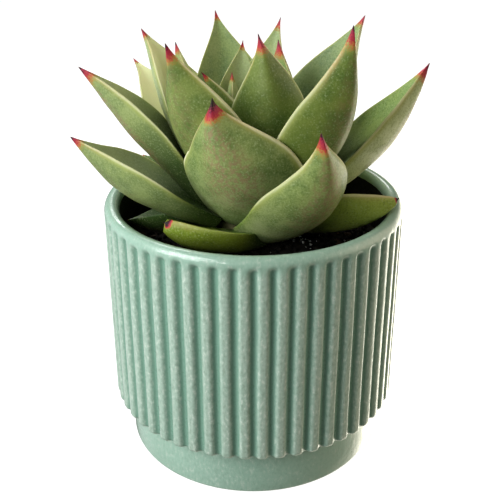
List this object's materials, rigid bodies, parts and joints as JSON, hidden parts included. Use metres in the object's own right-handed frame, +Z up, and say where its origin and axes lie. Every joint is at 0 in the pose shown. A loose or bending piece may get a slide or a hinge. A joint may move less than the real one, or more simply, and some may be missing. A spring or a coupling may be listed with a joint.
{
  "type": "potted succulent",
  "caption": "Rosette succulent with pointed, red-tipped fleshy leaves, rooted in soil in a round ceramic pot with upright ribs and a plain stepped foot.",
  "frame": {"origin": "centre of the pot's flat underside, on the surface that the pot stands on", "axes": "+Z up along the pot's axis, -Y towards the front as pictured, +X to the viewer's right"},
  "size_m": [0.1257, 0.1149, 0.1665],
  "materials": {
    "glaze": "satin",
    "soil": "matte",
    "stem": "matte",
    "leaf": "satin"
  },
  "bodies": {
    "root": {"pot": "glaze", "soil": "soil", "stem": "stem", "leaf_01": "leaf", "leaf_02": "leaf", "leaf_03": "leaf", "leaf_04": "leaf", "leaf_05": "leaf", "leaf_06": "leaf", "leaf_07": "leaf", "leaf_08": "leaf", "leaf_09": "leaf", "leaf_10": "leaf", "leaf_11": "leaf", "leaf_12": "leaf", "leaf_13": "leaf", "leaf_14": "leaf", "leaf_15": "leaf", "leaf_16": "leaf", "leaf_17": "leaf", "leaf_18": "leaf", "leaf_19": "leaf", "leaf_20": "leaf", "leaf_21": "leaf", "leaf_22": "leaf", "leaf_23": "leaf", "leaf_24": "leaf", "leaf_25": "leaf", "leaf_26": "leaf", "leaf_27": "leaf", "leaf_28": "leaf"}
  },
  "joints": []
}
